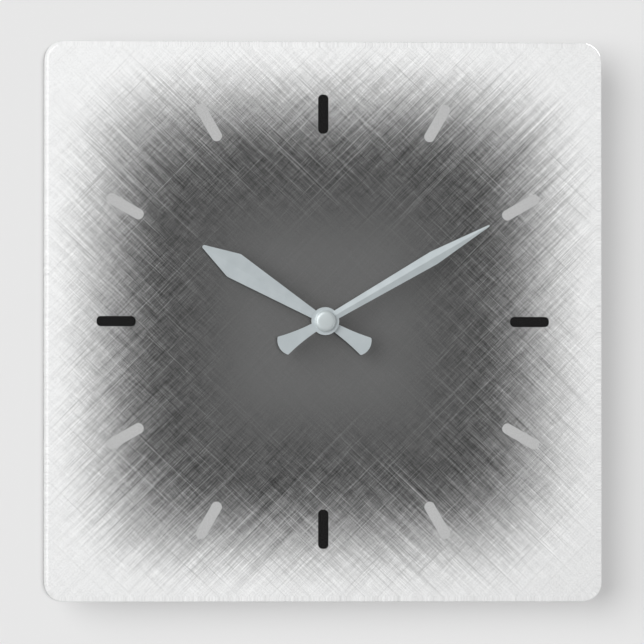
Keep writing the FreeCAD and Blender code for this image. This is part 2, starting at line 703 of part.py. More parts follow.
# ---- motor ----
def stator():
    """A soft-iron plate round the rotor, with an arm up to each end of the coil's core."""
    low = ROTOR_AT[1] - STATOR_HALF_HEIGHT
    high = ROTOR_AT[1] + STATOR_HALF_HEIGHT
    top = COIL_HEIGHT + CORE_HEIGHT / 2
    arms = [
        block(STATOR_LEFT, STATOR_LEFT + STATOR_ARM, STATOR_BACK, STATOR_FRONT, low, top),
        block(STATOR_RIGHT - STATOR_ARM, STATOR_RIGHT, STATOR_BACK, STATOR_FRONT, low, top),
    ]
    bar = block(STATOR_LEFT, STATOR_RIGHT, STATOR_BACK, STATOR_FRONT, low, high)
    hole = MAGNET_RADIUS + MAGNET_AIR_GAP
    cuts = [disc(hole, STATOR_BACK, STATOR_FRONT, ROTOR_AT)]
    for bearing in STATOR_NOTCH_BEARINGS:
        notch_at = step(ROTOR_AT, bearing, hole)
        cuts.append(disc(STATOR_NOTCH_RADIUS, STATOR_BACK, STATOR_FRONT, notch_at))
    cuts.append(disc(POST_RADIUS + PEG_ROOM, STATOR_BACK, STATOR_FRONT, ROTOR_SIDE_POST))
    cuts.append(disc(PEG_RADIUS + PEG_ROOM, STATOR_BACK, STATOR_FRONT, STATOR_POST))
    return fused([bar] + arms).cut(cuts)


def along_x(radius, x0, x1):
    return Part.makeCylinder(
        radius, x1 - x0, at(x0, COIL_DEPTH, COIL_HEIGHT), FreeCAD.Vector(1, 0, 0)
    )


def coil_core():
    half = CORE_HEIGHT / 2
    return block(
        STATOR_LEFT, STATOR_RIGHT, STATOR_FRONT, STATOR_FRONT + CORE_THICKNESS,
        COIL_HEIGHT - half, COIL_HEIGHT + half,
    )


def coil_bobbin():
    flanges = [
        block(
            x, x + COIL_FLANGE_THICKNESS, COIL_DEPTH - COIL_FLANGE, COIL_DEPTH + COIL_FLANGE,
            COIL_HEIGHT - COIL_FLANGE, COIL_HEIGHT + COIL_FLANGE,
        )
        for x in (COIL_LEFT, COIL_RIGHT - COIL_FLANGE_THICKNESS)
    ]
    barrel = along_x(COIL_BARREL, COIL_LEFT, COIL_RIGHT)
    return fused([barrel] + flanges).cut(coil_core())


def coil_winding():
    x0 = COIL_LEFT + COIL_FLANGE_THICKNESS
    x1 = COIL_RIGHT - COIL_FLANGE_THICKNESS
    return along_x(COIL_RADIUS, x0, x1).cut(along_x(COIL_BARREL, x0, x1))


# ---- circuit ----
def board_holes():
    left = BOARD_LEFT + BOARD_HOLE_INSET
    right = BOARD_RIGHT - BOARD_HOLE_INSET
    top = BOARD_TOP - BOARD_HOLE_INSET
    return [
        (left, top),
        (right, top),
        (right, (BOARD_TOP + BOARD_BOTTOM) / 2),
        (left, BOARD_BOTTOM + 3 * BOARD_HOLE_INSET),
    ]


def circuit_board():
    plate = fused([
        block(BOARD_LEFT, BOARD_RIGHT, BOARD_BACK, BOARD_FRONT, BOARD_BOTTOM, BOARD_TOP),
        block(BOARD_TAIL_LEFT, BOARD_LEFT, BOARD_BACK, BOARD_FRONT, BOARD_TAIL_BOTTOM, BOARD_TOP),
    ])
    return plate.cut([disc(PEG_RADIUS, BOARD_BACK, BOARD_FRONT, p) for p in board_holes()])


def chip_blob():
    """The drop of resin over the clock chip."""
    x = (BOARD_LEFT + BOARD_RIGHT) / 2
    z = (BOARD_TOP + BOARD_BOTTOM) / 2 + CHIP_ABOVE_MIDDLE
    front = BOARD_FRONT + CHIP_HEIGHT
    drop = disc(CHIP_RADIUS, BOARD_FRONT, front, (x, z))
    return drop.makeFillet(CHIP_ROUND, edges_at_depth(drop, front))


def quartz_crystal():
    x = (BOARD_LEFT + BOARD_RIGHT) / 2
    start = at(x, BOARD_FRONT + CRYSTAL_RADIUS, BOARD_BOTTOM + CRYSTAL_ABOVE_EDGE)
    return Part.makeCylinder(CRYSTAL_RADIUS, CRYSTAL_LENGTH, start, FreeCAD.Vector(0, 0, 1))


def coil_leads():
    """Two fine wires from the coil's flange to the tail of the circuit board."""
    leads = []
    for rise in LEADS_ABOVE_CORE:
        z = COIL_HEIGHT + CORE_HEIGHT / 2 + rise
        start = at(COIL_RIGHT, COIL_DEPTH + CORE_THICKNESS + LEAD_BEHIND_FLANGE, z)
        end = at(BOARD_TAIL_LEFT + LEAD_ON_BOARD, BOARD_FRONT, z)
        along = end - start
        leads.append(Part.makeCylinder(LEAD_RADIUS, along.Length, start, along))
    return Part.makeCompound(leads)


def positive_contact():
    """A plate with a raised bump for the cell's button, and a foot soldered to the board."""
    inner = INNER_X - CONTACT_THICKNESS
    foot_top = BOARD_BOTTOM + CONTACT_FOOT_TOP
    half = CONTACT_HALF_HEIGHT
    plate = block(
        inner, INNER_X, BOARD_FRONT, CELL_DEPTH + half, CELL_Z - half, CELL_Z + half
    )
    neck = block(inner, INNER_X, BOARD_FRONT, NECK_FRONT, CELL_Z, foot_top)
    foot = block(
        inner - POSITIVE_FOOT_LENGTH, INNER_X, BOARD_FRONT, RUN_FRONT,
        BOARD_BOTTOM + POSITIVE_FOOT_BOTTOM, foot_top,
    )
    bump = Part.makeCone(
        POSITIVE_BUMP_BASE, POSITIVE_BUMP_TIP, BAY_END_ROOM - CONTACT_THICKNESS - CONTACT_GAP,
        at(inner, CELL_DEPTH, CELL_Z), FreeCAD.Vector(-1, 0, 0),
    )
    return fused([plate, neck, foot, bump])


def negative_leaf(inner):
    """The bowed leaf that presses on the cell's flat end."""
    back = at(inner, CELL_DEPTH - NEGATIVE_LEAF_HALF_LENGTH, 0)
    front = at(inner, CELL_DEPTH + NEGATIVE_LEAF_HALF_LENGTH, 0)
    crown = at(inner + BAY_END_ROOM - CONTACT_THICKNESS - CONTACT_GAP, CELL_DEPTH, 0)
    bow = Part.Wire([Part.Arc(back, crown, front).toShape(), Part.makeLine(front, back)])
    leaf = Part.Face(bow).extrude(FreeCAD.Vector(0, 0, NEGATIVE_LEAF_HEIGHT))
    leaf.translate(at(0, 0, CELL_Z - NEGATIVE_LEAF_HEIGHT / 2))
    return leaf


def negative_contact():
    """A plate with a bowed leaf, and a strip that runs under the gears to the board."""
    inner = CONTACT_THICKNESS - INNER_X
    half = CONTACT_HALF_HEIGHT
    run_top = INNER_BOTTOM + CONTACT_THICKNESS
    foot_left = BOARD_LEFT + NEGATIVE_FOOT_INSET
    foot_right = foot_left + NEGATIVE_FOOT_WIDTH
    foot_top = BOARD_BOTTOM + CONTACT_FOOT_TOP
    plate = block(-INNER_X, inner, RUN_BACK, CELL_DEPTH + half, CELL_Z - half, CELL_Z + half)
    neck = block(-INNER_X, inner, RUN_BACK, RUN_FRONT, CELL_Z, run_top)
    run = block(-INNER_X, foot_right, RUN_BACK, RUN_FRONT, INNER_BOTTOM, run_top)
    foot = block(foot_left, foot_right, BOARD_FRONT, RUN_FRONT, INNER_BOTTOM, foot_top)
    return fused([plate, neck, run, foot, negative_leaf(inner)])


# ---- cell ----
def cell_tube(radius, x0, x1):
    return Part.makeCylinder(
        radius, x1 - x0, at(x0, CELL_DEPTH, CELL_Z), FreeCAD.Vector(1, 0, 0)
    )


def cell_can():
    half = CELL_LENGTH / 2
    shoulder = half - CELL_BUTTON_LENGTH
    return fused([
        cell_tube(CELL_RADIUS - CELL_SLEEVE, -half, shoulder),
        cell_tube(CELL_BUTTON_RADIUS, shoulder, half),
    ])


def cell_sleeve():
    x0 = CELL_SLEEVE_INSET - CELL_LENGTH / 2
    x1 = CELL_LENGTH / 2 - CELL_BUTTON_LENGTH - CELL_SLEEVE_INSET
    return cell_tube(CELL_RADIUS, x0, x1).cut(cell_tube(CELL_RADIUS - CELL_SLEEVE, x0, x1))


# ---- panel and what clamps it ----
def panel_outline(inset, back, front):
    return rounded_block(
        inset - PANEL_WIDTH / 2, PANEL_WIDTH / 2 - inset, back, front,
        inset - PANEL_HEIGHT / 2, PANEL_HEIGHT / 2 - inset, PANEL_CORNER - inset,
    )


def acrylic_panel():
    solid = panel_outline(0.0, PANEL_BACK, PANEL_FRONT)
    solid = solid.makeFillet(PANEL_FRONT_ROUND, edges_at_depth(solid, PANEL_FRONT))
    solid = solid.makeChamfer(PANEL_BACK_BEVEL, edges_at_depth(solid, PANEL_BACK))
    return solid.cut(disc(BUSHING_RADIUS + PANEL_HOLE_ROOM, PANEL_BACK, PANEL_FRONT))


def dial_print():
    """The printed layer on the panel's back."""
    solid = panel_outline(PRINT_INSET, PRINT_BACK, PANEL_BACK)
    return solid.cut(disc(BUSHING_RADIUS + PANEL_HOLE_ROOM, PRINT_BACK, PANEL_BACK))


def threaded_bushing():
    """A flanged brass tube. Its thread is a stack of rings at the thread's pitch."""
    crest = BUSHING_RADIUS
    root = BUSHING_RADIUS - BUSHING_THREAD_DEPTH
    solid = fused([
        disc(BUSHING_FLANGE_RADIUS, COVER_BACK - BUSHING_FLANGE_THICKNESS, COVER_BACK),
        disc(crest, COVER_BACK, BUSHING_FRONT),
    ])
    grooves = []
    depth = NUT_FRONT + THREAD_STARTS_AFTER_NUT
    half = BUSHING_PITCH / 2
    while depth < BUSHING_FRONT:
        narrowing = Part.makeCone(crest, root, half, at(0, depth, 0), FORWARD)
        widening = Part.makeCone(root, crest, half, at(0, depth + half, 0), FORWARD)
        band = disc(crest + OVERSHOOT, depth, depth + BUSHING_PITCH)
        grooves.append(band.cut([narrowing, widening]))
        depth += BUSHING_PITCH
    bore = disc(
        HOUR_PIPE_RADIUS + HOUR_PIPE_BORE_ROOM, COVER_BACK - BUSHING_FLANGE_THICKNESS, BUSHING_FRONT
    )
    return solid.cut(grooves + [bore])


def rubber_washer():
    return ring(RUBBER_RADIUS, BUSHING_RADIUS, CASE_DEPTH, PRINT_BACK)


def brass_washer():
    return ring(WASHER_RADIUS, BUSHING_RADIUS, PANEL_FRONT, NUT_BACK)


def hex_nut():
    corner_radius = NUT_ACROSS_FLATS / math.sqrt(3)
    corners = [step(ORIGIN, 60 * n, corner_radius) for n in range(6)]
    solid = slab(polygon(corners), NUT_BACK, NUT_FRONT)
    chamfer = Part.makeCone(
        corner_radius + OVERSHOOT, corner_radius - NUT_CHAMFER, NUT_THICKNESS,
        at(0, NUT_BACK, 0), FORWARD,
    )
    return solid.common(chamfer).cut(disc(BUSHING_RADIUS, NUT_BACK, NUT_FRONT))


# ---- hands ----
def hand_outline(shape):
    """A pointed hand with a fishtail, drawn pointing up with the hub at the origin."""
    shoulder_r, shoulder_w = shape["shoulder"]
    root_r, root_w = shape["root"]
    waist_r, waist_w = shape["tail_waist"]
    corner_r, corner_w = shape["tail_corner"]
    edges = []
    for side in (1, -1):
        root = at(side * root_w, 0, root_r)
        shoulder = at(side * shoulder_w, 0, shoulder_r)
        waist = at(side * waist_w, 0, -waist_r)
        corner = at(side * corner_w, 0, -corner_r)
        tail_root = at(side * root_w, 0, -root_r)
        edges.append(Part.makeLine(shoulder, root))
        edges.append(Part.makeLine(root, tail_root))
        edges.append(Part.Arc(tail_root, waist, corner).toShape())
        edges.append(Part.makeLine(at(0, 0, shape["apex"]), shoulder))
    end = Part.Arc(
        at(corner_w, 0, -corner_r), at(0, 0, -shape["tail_end"]), at(-corner_w, 0, -corner_r)
    )
    edges.append(end.toShape())
    return Part.Wire(Part.__sortEdges__(edges))


def eased(solid, shape):
    """Rounds the hand's point, its shoulders and the corners of its tail."""
    def upright_at(x, z, edge):
        points = [v.Point for v in edge.Vertexes]
        return all(math.hypot(abs(p.x) - x, p.z - z) < 1e-4 for p in points)

    shoulder_r, shoulder_w = shape["shoulder"]
    corner_r, corner_w = shape["tail_corner"]
    for x, z, radius in (
        (0.0, shape["apex"], shape["tip"]),
        (shoulder_w, shoulder_r, shape["ease"]),
        (corner_w, -corner_r, shape["tip"]),
    ):
        found = [e for e in solid.Edges if upright_at(x, z, e)]
        solid = solid.makeFillet(radius, found)
    return solid


def folded_hand(shape, hub_radius, depth):
    """A flat hub and fishtail, and a pointer folded so that its crease is its highest line."""
    front = depth + HAND_SHEET + OVERSHOOT
    back = depth - OVERSHOOT
    blank = eased(slab(hand_outline(shape), back, front), shape)
    reach = shape["apex"] + OVERSHOOT
    half = shape["shoulder"][1] + OVERSHOOT
    crest = depth + HAND_SHEET + HAND_FOLD_RISE
    drop = half * HAND_FOLD_SLOPE

    def section(x, z):
        return at(x, z, -reach)

    fold = Part.makePolygon([
        section(0, crest), section(half, crest - drop), section(half, crest - drop - HAND_SHEET),
        section(0, crest - HAND_SHEET), section(-half, crest - drop - HAND_SHEET),
        section(-half, crest - drop), section(0, crest),
    ])
    pointer = blank.common(Part.Face(fold).extrude(FreeCAD.Vector(0, 0, 2 * reach)))
    pointer = pointer.common(block(-half, half, back, front, 0, reach))
    tail = blank.common(block(-half, half, depth, depth + HAND_SHEET, -reach, 0))
    return [pointer, tail, disc(hub_radius, depth, depth + HAND_SHEET)]


def hour_hand():
    sheet = folded_hand(HOUR_OUTLINE, HOUR_HUB_RADIUS, HOUR_HAND_DEPTH)
    collet = disc(HOUR_PIPE_RADIUS + HOUR_COLLET_WALL, HOUR_HAND_DEPTH, HOUR_PIPE_FRONT)
    bore = disc(HOUR_PIPE_RADIUS, HOUR_HAND_DEPTH - OVERSHOOT, HOUR_PIPE_FRONT)
    return outward(HOUR_ANGLE, fused(sheet + [collet]).cut(bore))


def minute_hand():
    sheet = folded_hand(MINUTE_OUTLINE, MINUTE_HUB_RADIUS, MINUTE_HAND_DEPTH)
    under_cap = disc(CAP_RADIUS + CAP_CLEARS_CREASE, CAP_BACK, CAP_BACK + OVERSHOOT)
    bore = disc(MINUTE_SEAT_RADIUS, MINUTE_HAND_DEPTH, CAP_BACK)
    below = disc(MINUTE_HUB_RADIUS, MINUTE_HAND_DEPTH - OVERSHOOT, MINUTE_HAND_DEPTH)
    return outward(MINUTE_ANGLE, fused(sheet).cut([under_cap, bore, below]))


def centre_cap():
    solid = disc(CAP_RADIUS, CAP_BACK, CAP_FRONT)
    solid = solid.makeFillet(CAP_ROUND, edges_at_depth(solid, CAP_FRONT))
    return solid.cut(disc(MINUTE_SEAT_RADIUS, CAP_BACK, CAP_BACK + CAP_SOCKET))


NODES = {
    "acrylic_panel": acrylic_panel,
    "dial_print": dial_print,
    "rubber_washer": rubber_washer,
    "brass_washer": brass_washer,
    "hex_nut": hex_nut,
    "threaded_bushing": threaded_bushing,
    "case_body": case_body,
    "front_cover": front_cover,
    "train_bridge": train_bridge,
    "stator": stator,
    "coil_core": coil_core,
    "coil_bobbin": coil_bobbin,
    "coil_winding": coil_winding,
    "coil_leads": coil_leads,
    "circuit_board": circuit_board,
    "chip_blob": chip_blob,
    "quartz_crystal": quartz_crystal,
    "positive_contact": positive_contact,
    "negative_contact": negative_contact,
    "cell_can": cell_can,
    "cell_sleeve": cell_sleeve,
    "rotor_magnet": rotor_magnet,
    "rotor_pinion": rotor_pinion,
    "third_wheel": third_wheel,
    "seconds_wheel": seconds_wheel,
    "intermediate_wheel": intermediate_wheel,
    "centre_wheel": centre_wheel,
    "motion_wheel": motion_wheel,
    "set_knob": set_knob,
    "minute_arbor": minute_arbor,
    "minute_hand": minute_hand,
    "centre_cap": centre_cap,
    "hour_wheel": hour_wheel,
    "hour_hand": hour_hand,
}

os.makedirs("parts", exist_ok=True)
for node, make in NODES.items():
    shape = make()
    shape.translate(FreeCAD.Vector(0, 0, -HANGER_HEIGHT))
    shape.exportStep(f"parts/{node}.step")
    print(f"{node}: {len(shape.Solids)} solids, {shape.Volume:.1f} mm3, valid {shape.isValid()}")
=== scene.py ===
import math
import bmesh
import bpy
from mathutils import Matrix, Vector

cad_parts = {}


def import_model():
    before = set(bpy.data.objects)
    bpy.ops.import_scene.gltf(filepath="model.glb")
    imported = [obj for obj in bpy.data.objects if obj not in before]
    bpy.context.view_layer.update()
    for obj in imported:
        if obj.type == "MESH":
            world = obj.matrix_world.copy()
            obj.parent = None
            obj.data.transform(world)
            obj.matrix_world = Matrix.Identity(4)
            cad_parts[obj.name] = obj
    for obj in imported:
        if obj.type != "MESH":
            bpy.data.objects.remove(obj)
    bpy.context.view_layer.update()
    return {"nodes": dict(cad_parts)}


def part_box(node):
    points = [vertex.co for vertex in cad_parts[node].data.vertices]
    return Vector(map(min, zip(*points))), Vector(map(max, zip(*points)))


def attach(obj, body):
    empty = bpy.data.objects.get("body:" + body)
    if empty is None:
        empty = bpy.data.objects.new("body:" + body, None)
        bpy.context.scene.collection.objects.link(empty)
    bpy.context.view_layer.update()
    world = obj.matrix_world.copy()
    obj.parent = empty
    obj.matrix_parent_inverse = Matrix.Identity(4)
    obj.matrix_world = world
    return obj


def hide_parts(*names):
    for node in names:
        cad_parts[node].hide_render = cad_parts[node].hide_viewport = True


# Looks for a square wall clock: a clear acrylic panel printed on its back, two folded silver
# hands, and the battery movement that carries them. Metres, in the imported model's frame:
# +X right, +Z up, and the dial faces -Y. The wall is the plane y = 0.

MM = 0.001
WHITE = (1.0, 1.0, 1.0, 1.0)

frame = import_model()
nodes = frame["nodes"]


# ---- the CAD places that the looks are built on ----
panel_low, panel_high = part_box("acrylic_panel")
print_low, print_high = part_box("dial_print")
cap_low, cap_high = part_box("centre_cap")
AXIS = Vector(((panel_low.x + panel_high.x) / 2, 0.0, (panel_low.z + panel_high.z) / 2))
PANEL_BACK_Y = panel_high.y
PANEL_FRONT_Y = panel_low.y

# ---- places of the print, in from the panel's back ----
INK_DEPTH = 0.02 * MM
MARK_BACK_DEPTH = 0.03 * MM
MARK_FRONT_DEPTH = 0.06 * MM
PRINT_CORNER = 8.9 * MM
PRINT_HOLE_RADIUS = 4.15 * MM

# ---- light levels. A share of 1 lights a face square to it at full level ----
WALL_GAP = 0.5 * MM
WALL_TONE = 0.80
WORLD_FILL = 0.20
WORLD_GLOSS = 0.26
WORLD_SHOWN = 0.80

# ---- camera ----
CAMERA_AZIMUTH = -5.5
CAMERA_ELEVATION = -1.3
CAMERA_DISTANCE = 4.5
CAMERA_LENS = 516.3


# ---- node graphs ----
class Graph:
    """One material and short calls that add nodes to it."""

    def __init__(self, name):
        self.material = bpy.data.materials.new(name)
        self.material.use_nodes = True
        self.tree = self.material.node_tree
        self.shader = self.tree.nodes["Principled BSDF"]
        self.output = self.tree.nodes["Material Output"]

    def put(self, socket, value):
        if isinstance(value, bpy.types.NodeSocket):
            self.tree.links.new(value, socket)
        else:
            socket.default_value = value

    def node(self, kind, **settings):
        made = self.tree.nodes.new(kind)
        for name, value in settings.items():
            setattr(made, name, value)
        return made

    def set(self, **values):
        """Sets the principled shader's sockets, written as words joined by underscores."""
        for name, value in values.items():
            self.put(self.shader.inputs[name.replace("_", " ")], value)

    def place(self):
        """The piece's own coordinates, in metres. They move with the piece."""
        return self.node("ShaderNodeTexCoord").outputs["Object"]

    def math(self, operation, first, second=0.0, third=0.0, clamp=False):
        made = self.node("ShaderNodeMath", operation=operation, use_clamp=clamp)
        for socket, value in zip(made.inputs, (first, second, third)):
            self.put(socket, value)
        return made.outputs[0]

    def vector(self, operation, first, second):
        made = self.node("ShaderNodeVectorMath", operation=operation)
        self.put(made.inputs[0], first)
        self.put(made.inputs[1], second)
        return made.outputs[0]

    def parts(self, vector):
        made = self.node("ShaderNodeSeparateXYZ")
        self.put(made.inputs[0], vector)
        return made.outputs

    def turned(self, vector, axis, degrees):
        made = self.node("ShaderNodeVectorRotate", rotation_type=f"{axis}_AXIS")
        self.put(made.inputs["Vector"], vector)
        made.inputs["Angle"].default_value = math.radians(degrees)
        return made.outputs[0]

    def ramp(self, value, low, high, to_low=0.0, to_high=1.0, smooth=True):
        """Maps low..high to to_low..to_high, and holds the ends."""
        kind = "SMOOTHSTEP" if smooth else "LINEAR"
        made = self.node("ShaderNodeMapRange", interpolation_type=kind)
        for socket, each in zip(made.inputs, (value, low, high, to_low, to_high)):
            self.put(socket, each)
        return made.outputs[0]

    def noise(self, vector, scale=1.0, detail=2.0, rough=0.5):
        made = self.node("ShaderNodeTexNoise")
        self.put(made.inputs["Vector"], vector)
        made.inputs["Scale"].default_value = scale
        made.inputs["Detail"].default_value = detail
        made.inputs["Roughness"].default_value = rough
        return made.outputs[0]

    def mix(self, share, first, second):
        """A colour between two colours."""
        made = self.node("ShaderNodeMix", data_type="RGBA")
        self.put(made.inputs[0], share)
        self.put(made.inputs[6], first)
        self.put(made.inputs[7], second)
        return made.outputs[2]

    def grey(self, value):
        made = self.node("ShaderNodeCombineColor")
        for socket in made.inputs:
            self.put(socket, value)
        return made.outputs[0]

    def bump(self, height, distance, strength=1.0):
        made = self.node("ShaderNodeBump")
        self.put(made.inputs["Height"], height)
        made.inputs["Distance"].default_value = distance
        made.inputs["Strength"].default_value = strength
        self.put(self.shader.inputs["Normal"], made.outputs[0])


def wear(graph, colour, darker, scale, share_low=0.35, share_high=0.7):
    """Clouds a colour a little, so that a large face isn't one flat tone."""
    cloud = graph.noise(graph.place(), scale, 4.0, 0.6)
    graph.set(Base_Color=graph.mix(graph.ramp(cloud, share_low, share_high), colour, darker))
    return cloud


# ---- the printed brushed pattern ----
def streaks(graph, place, degrees, across, along, seed, detail=2.0):
    """Noise drawn out along one direction of the dial, about 0.5 on average."""
    turned = graph.turned(place, "Y", degrees)
    stretched = graph.vector("MULTIPLY", turned, (1 / along, 0.0, 1 / across))
    moved = graph.vector("ADD", stretched, (seed, seed * 0.37, seed * 1.31))
    return graph.noise(moved, 1.0, detail, 0.55)


def crossed(graph, rising, falling, lean):
    """Two crossing streak layers as one signed value about 0. Lean weighs one against the other."""
    first = graph.math("MULTIPLY", graph.math("SUBTRACT", rising, 0.5), lean)
    rest = graph.math("SUBTRACT", 2.0, lean)
    return graph.math("MULTIPLY_ADD", graph.math("SUBTRACT", falling, 0.5), rest, first)


def print_material():
    graph = Graph("back_print")
    place = graph.vector("SUBTRACT", graph.place(), (AXIS.x, 0.0, AXIS.z))
    x, _, z = graph.parts(place)

    # Distance from the axis in a rounded-square measure, in millimetres.
    roundness = 4.7
    side = graph.math("POWER", graph.math("ABSOLUTE", graph.math("DIVIDE", x, MM)), roundness)
    rise = graph.math("POWER", graph.math("ABSOLUTE", graph.math("DIVIDE", z, MM)), roundness)
    reach = graph.math("POWER", graph.math("ADD", side, rise), 1 / roundness)

    # Towards each corner the streaks that point at it outweigh those that cross them.
    corner = graph.math("MULTIPLY", graph.math("MULTIPLY", x, z), 100.0)
    lean = graph.ramp(corner, -0.6, 0.6, 0.35, 1.65)

    bundles = crossed(
        graph,
        streaks(graph, place, 45, 2.4 * MM, 90 * MM, 3.1),
        streaks(graph, place, -46, 2.1 * MM, 85 * MM, 8.4),
        lean,
    )
    lines = crossed(
        graph,
        streaks(graph, place, 44, 0.6 * MM, 60 * MM, 14.2, 3.0),
        streaks(graph, place, -44, 0.55 * MM, 55 * MM, 21.7, 3.0),
        lean,
    )
    fine = crossed(
        graph,
        streaks(graph, place, 46, 0.40 * MM, 7 * MM, 33.3),
        streaks(graph, place, -43, 0.40 * MM, 7 * MM, 41.9),
        1.0,
    )
    grain = graph.math("SUBTRACT", graph.noise(place, 1 / (0.7 * MM), 2.0, 0.6), 0.5)
    rising = graph.ramp(streaks(graph, place, 45.5, 0.6 * MM, 95 * MM, 52.6, 1.0), 0.63, 0.72)
    falling = graph.ramp(streaks(graph, place, -43.5, 0.6 * MM, 90 * MM, 63.8, 1.0), 0.63, 0.72)
    scratch = graph.math("MAXIMUM", rising, falling)

    # The dark field gives way to the pale border along the streaks, in millimetres.
    bundle_push = 7.0
    line_push = 7.5
    fade_start = 74.0
    fade_end = 134.5
    pushed = graph.math("MULTIPLY_ADD", bundles, bundle_push, reach)
    pushed = graph.math("MULTIPLY_ADD", lines, line_push, pushed)
    pale = graph.ramp(pushed, fade_start, fade_end)

    # Tones are written as a screen shows them, from 0 to 1.
    dark = graph.ramp(reach, 28.0, 68.0, 0.396, 0.334)
    # Painted light and shade on the pale edge band: lighter towards the upper left, where the key
    # lamp stands, and darker towards the lower right.
    border_with_painted_light = graph.ramp(graph.math("SUBTRACT", z, x), -0.25, 0.25, 0.892, 0.958, smooth=False)
    tone = graph.math("MULTIPLY_ADD", graph.math("SUBTRACT", border_with_painted_light, dark), pale, dark)

    inner = graph.ramp(reach, 40.0, 84.0, 0.08, 1.0)
    outer = graph.ramp(reach, 108.0, 142.0, 1.0, 0.2)
    strength = graph.math("MULTIPLY", inner, outer)
    contrast = graph.math("MULTIPLY", lines, 0.19)
    contrast = graph.math("MULTIPLY_ADD", fine, 0.34, contrast)
    contrast = graph.math("MULTIPLY_ADD", bundles, 0.05, contrast)
    tone = graph.math("MULTIPLY_ADD", contrast, strength, tone)
    # A scratch is paler than the dark field and darker than the border.
    scratch_sign = graph.ramp(tone, 0.50, 0.85, 0.12, -0.12)
    scratch_share = graph.math("MULTIPLY", scratch, strength)
    tone = graph.math("MULTIPLY_ADD", scratch_sign, scratch_share, tone)
    grain_size = graph.ramp(reach, 30.0, 90.0, 0.05, 0.17)
    tone = graph.math("MULTIPLY_ADD", grain, grain_size, tone, clamp=True)
    lightest_ink = 0.975
    screen_gamma = 2.2
    tone = graph.math("MINIMUM", tone, lightest_ink)
    # The ink is bonded to the acrylic, so it has no gloss of its own.
    graph.set(Base_Color=graph.grey(graph.math("POWER", tone, screen_gamma)), Roughness=1.0)
    graph.shader.inputs["Specular IOR Level"].default_value = 0.0
    return graph.material


def ink_back_material():
    graph = Graph("print_backing")
    cloud = wear(graph, (0.80, 0.80, 0.79, 1), (0.775, 0.775, 0.765, 1), 160)
    graph.set(Roughness=graph.ramp(cloud, 0.3, 0.7, 0.42, 0.58))
    graph.bump(graph.noise(graph.place(), 2500, 2.0), 0.02 * MM, 0.5)
    return graph.material


def mark_material(name, tone):
    """Solid ink with the faint mottle of a printed area."""
    graph = Graph(name)
    mottle = graph.noise(graph.place(), 1600, 3.0)
    lighter = [min(1.0, c * 1.08) for c in tone] + [1.0]
    darker = [c * 0.92 for c in tone] + [1.0]
    graph.set(Base_Color=graph.mix(graph.ramp(mottle, 0.3, 0.7), darker, lighter), Roughness=1.0)
    graph.shader.inputs["Specular IOR Level"].default_value = 0.0
    return graph.material


# ---- clear acrylic ----
def acrylic_material():
    """Polished acrylic. Shadow and diffuse rays pass straight through it."""
    graph = Graph("clear_acrylic")
    faint = graph.noise(graph.place(), 90, 2.0)
    graph.set(
        Base_Color=(0.985, 0.995, 0.995, 1),
        Roughness=graph.ramp(faint, 0.3, 0.7, 0.0, 0.012),
    )
    graph.shader.inputs["IOR"].default_value = 1.49
    graph.shader.inputs["Transmission Weight"].default_value = 1.0
    graph.shader.inputs["Specular IOR Level"].default_value = 0.35
    rays = graph.node("ShaderNodeLightPath")
    passing = graph.math("MAXIMUM", rays.outputs["Is Shadow Ray"], rays.outputs["Is Diffuse Ray"])
    clear = graph.node("ShaderNodeBsdfTransparent")
    choice = graph.node("ShaderNodeMixShader")
    graph.put(choice.inputs[0], passing)
    graph.put(choice.inputs[1], graph.shader.outputs[0])
    graph.put(choice.inputs[2], clear.outputs[0])
    graph.put(graph.output.inputs["Surface"], choice.outputs[0])
    return graph.material


# ---- metals ----
def satin_metal(name, colour, lighter):
    """Satin silver lacquer on sheet metal, faintly brushed."""
    graph = Graph(name)
    place = graph.place()
    brushed = graph.noise(graph.vector("MULTIPLY", place, (900, 400, 5200)), 1.0, 3.0)
    cloud = graph.noise(place, 140, 3.0)
    tone = graph.mix(graph.ramp(cloud, 0.3, 0.7), colour, lighter)
    graph.set(
        Base_Color=tone,
        Metallic=0.38,
        Roughness=graph.ramp(brushed, 0.3, 0.7, 0.36, 0.44),
    )
    graph.bump(brushed, 0.01 * MM, 0.25)
    return graph.material


def turned_metal(name, colour, darker, centre, rough, ring_pitch=0.12 * MM):
    """Metal turned on a lathe, with fine rings about an axis along Y."""
    graph = Graph(name)
    place = graph.vector("SUBTRACT", graph.place(), (centre[0], 0.0, centre[1]))
    x, _, z = graph.parts(place)
    radius = graph.math("SQRT", graph.math("MULTIPLY_ADD", x, x, graph.math("MULTIPLY", z, z)))
    rings = graph.math("SINE", graph.math("MULTIPLY", radius, 2 * math.pi / ring_pitch))
    cloud = graph.noise(graph.place(), 260, 4.0, 0.6)
    graph.set(
        Base_Color=graph.mix(graph.ramp(cloud, 0.35, 0.7), colour, darker),
        Metallic=1.0,
        Roughness=graph.ramp(cloud, 0.3, 0.7, rough - 0.06, rough + 0.08),
    )
    graph.bump(graph.math("MULTIPLY_ADD", rings, 0.5, cloud), 0.012 * MM, 0.4)
    return graph.material


def sheet_metal(name, colour, darker, stretch, rough):
    """Rolled or plated sheet with a grain along one axis."""
    graph = Graph(name)
    grain = graph.noise(graph.vector("MULTIPLY", graph.place(), stretch), 1.0, 3.0)
    cloud = graph.noise(graph.place(), 180, 3.0)
    graph.set(
        Base_Color=graph.mix(graph.ramp(cloud, 0.35, 0.7), colour, darker),
        Metallic=1.0,
        Roughness=graph.ramp(grain, 0.3, 0.7, rough - 0.07, rough + 0.09),
    )
    graph.bump(grain, 0.01 * MM, 0.4)
    return graph.material


